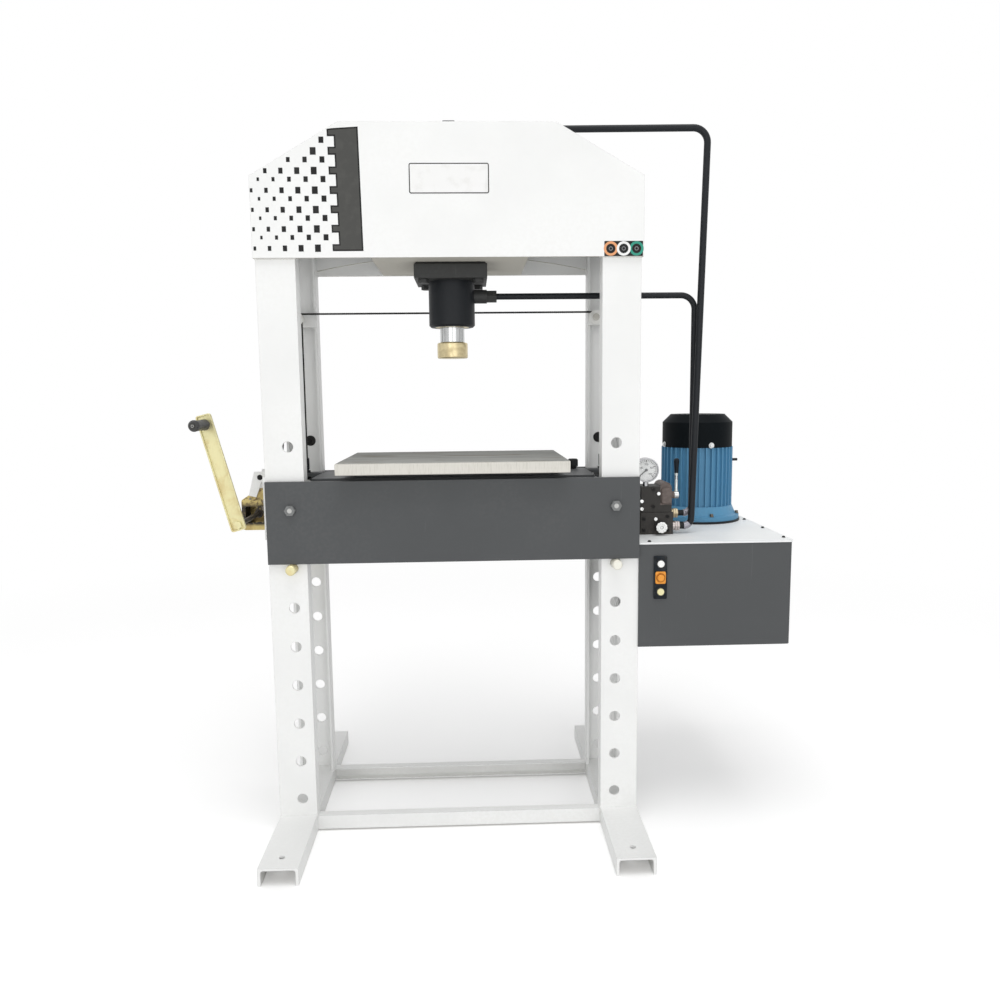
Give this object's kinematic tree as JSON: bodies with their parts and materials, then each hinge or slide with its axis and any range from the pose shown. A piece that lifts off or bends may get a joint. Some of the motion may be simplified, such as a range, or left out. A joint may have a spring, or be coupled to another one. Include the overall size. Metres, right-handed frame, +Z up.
{
  "type": "workshop hydraulic press",
  "caption": "Floor-standing H-frame workshop press with a vertical ram, a rope-lifted bed, a hand winch and an electric hydraulic power pack on its side",
  "frame": {"origin": "on the floor, straight under the ram axis, midway between the two feet", "axes": "+X to the right along the bed, towards the power pack; +Y to the back, along the feet; +Z up, along the ram"},
  "size_m": [1.8602, 1, 2.284],
  "materials": {
    "white_paint": "gloss white powder coat",
    "grey_paint": "dark grey powder coat",
    "black_paint": "black enamel",
    "lid_paint": "pale grey powder coat",
    "motor_paint": "blue enamel",
    "machined_steel": "ground plate",
    "chrome_rod": "hard chrome",
    "bronze": "turned bronze",
    "zinc": "yellow zinc plate",
    "winch_steel": "dark cut steel",
    "wire_rope": "dark wire rope",
    "nylon": "white nylon",
    "black_plastic": "black plastic",
    "knob_plastic": "white plastic",
    "bezel": "black plastic rings",
    "button_orange": "orange plastic",
    "button_yellow": "pale yellow plastic",
    "gauge_metal": "bright steel case",
    "needle_black": "black needle"
  },
  "bodies": {
    "frame": {"button_bezels": "bezel", "button_station": "black_plastic", "cross_beams": "white_paint", "cylinder_barrel": "black_paint", "cylinder_cap": "black_paint", "cylinder_gland": "bronze", "cylinder_port": "black_paint", "cylinder_seat_plate": "white_paint", "feet": "white_paint", "flange_block": "black_paint", "flange_bolts": "black_paint", "gauge_case": "gauge_metal", "head_cover": "white_paint", "head_doublers": "white_paint", "head_plates": "white_paint", "motor_body": "motor_paint", "motor_cowl": "black_paint", "motor_ring": "black_paint", "pipe_high": "black_paint", "pipe_low": "black_paint", "rope_runs": "wire_rope", "sheave_pins": "machined_steel", "sheave_plates": "white_paint", "tank_body": "grey_paint", "tank_lid": "lid_paint", "upright_front_left": "white_paint", "upright_front_right": "white_paint", "upright_rear_left": "white_paint", "upright_rear_right": "white_paint", "valve_body": "black_paint", "valve_fittings": "zinc", "valve_manifold": "black_paint", "winch_bracket": "white_paint", "winch_frame": "zinc"},
    "ram": {"ram_rod": "chrome_rod", "ram_nose": "bronze"},
    "bed": {"bed_plates": "grey_paint", "bed_bolts": "grey_paint", "bed_spacers": "grey_paint", "bed_base_plate": "grey_paint", "rope_terminals": "black_paint", "table_plate": "machined_steel", "rope_falls": "wire_rope"},
    "drum": {"winch_drum": "winch_steel"},
    "crank": {"winch_crank": "zinc"},
    "crank_knob": {"winch_knob": "black_plastic"},
    "pawl": {"winch_pawl": "winch_steel"},
    "sheave_l": {"sheave_left": "nylon"},
    "sheave_r": {"sheave_right": "nylon"},
    "pin_l": {"support_pin_left": "zinc"},
    "pin_r": {"support_pin_right": "winch_steel"},
    "lever": {"valve_lever": "chrome_rod", "lever_grip": "black_plastic"},
    "relief": {"relief_knob": "knob_plastic"},
    "needle": {"gauge_needle": "needle_black"},
    "rotor": {"motor_rotor": "black_paint"},
    "btn_top": {"button_top": "knob_plastic"},
    "btn_middle": {"button_middle": "button_orange"},
    "btn_bottom": {"button_bottom": "button_yellow"}
  },
  "joints": [
    {"name": "ram_slide", "type": "slide", "parent": "frame", "child": "ram", "axis": [0, 0, 1], "range_m": [-0.28, 0]},
    {"name": "bed_lift", "type": "slide", "parent": "frame", "child": "bed", "axis": [0, 0, 1], "range_m": [0, 0.266], "deforming": ["rope_falls"]},
    {"name": "drum_turn", "type": "hinge", "parent": "frame", "child": "drum", "pos_m": [-0.641, 0.066, 1.072], "axis": [0, 1, 0], "range_deg": [-2, 546.5]},
    {"name": "crank_turn", "type": "hinge", "parent": "frame", "child": "crank", "pos_m": [-0.66405, -0.1, 1.0299], "axis": [0, 1, 0], "range_deg": [-1639.6, 6]},
    {"name": "knob_spin", "type": "hinge", "parent": "crank", "child": "crank_knob", "pos_m": [-0.74392, -0.3, 1.33874], "axis": [0, 1, 0], "continuous": true},
    {"name": "pawl_lift", "type": "hinge", "parent": "frame", "child": "pawl", "pos_m": [-0.68975, 0.025, 1.0806], "axis": [0, 1, 0], "range_deg": [-30, 0]},
    {"name": "sheave_left_turn", "type": "hinge", "parent": "frame", "child": "sheave_l", "pos_m": [-0.526, 0.092, 1.679], "axis": [0, 1, 0], "range_deg": [-854.7, 2]},
    {"name": "sheave_right_turn", "type": "hinge", "parent": "frame", "child": "sheave_r", "pos_m": [0.49, 0.0995, 1.679], "axis": [0, 1, 0], "range_deg": [-854.7, 2]},
    {"name": "pin_left_pull", "type": "slide", "parent": "frame", "child": "pin_l", "axis": [0, -1, 0], "range_m": [0, 0.42]},
    {"name": "pin_right_pull", "type": "slide", "parent": "frame", "child": "pin_r", "axis": [0, -1, 0], "range_m": [0, 0.42]},
    {"name": "lever_swing", "type": "hinge", "parent": "frame", "child": "lever", "pos_m": [0.748, -0.015, 1.076], "axis": [1, 0, 0], "range_deg": [-20, 20], "stiffness_Nm_per_rad": 0.5},
    {"name": "relief_turn", "type": "hinge", "parent": "frame", "child": "relief", "pos_m": [0.687, -0.06, 0.974], "axis": [0, 1, 0], "range_deg": [-270, 270]},
    {"name": "gauge_swing", "type": "hinge", "parent": "frame", "child": "needle", "pos_m": [0.642, -0.024, 1.163], "axis": [0, 1, 0], "range_deg": [0, 260], "stiffness_Nm_per_rad": 0.001},
    {"name": "motor_turn", "type": "hinge", "parent": "frame", "child": "rotor", "pos_m": [0.904, 0.305, 1.2], "axis": [0, 0, 1], "continuous": true},
    {"name": "top_press", "type": "slide", "parent": "frame", "child": "btn_top", "axis": [0, 1, 0], "range_m": [0, 0.004], "stiffness_N_per_m": 600},
    {"name": "middle_press", "type": "slide", "parent": "frame", "child": "btn_middle", "axis": [0, 1, 0], "range_m": [0, 0.004], "stiffness_N_per_m": 600},
    {"name": "bottom_press", "type": "slide", "parent": "frame", "child": "btn_bottom", "axis": [0, 1, 0], "range_m": [0, 0.004], "stiffness_N_per_m": 600}
  ],
  "couplings": [
    {"joint": "drum_turn", "follows": "bed_lift", "rad_per_m": 35.336},
    {"joint": "crank_turn", "follows": "bed_lift", "rad_per_m": -106.01},
    {"joint": "sheave_left_turn", "follows": "bed_lift", "rad_per_m": -55.556},
    {"joint": "sheave_right_turn", "follows": "bed_lift", "rad_per_m": -55.556}
  ]
}
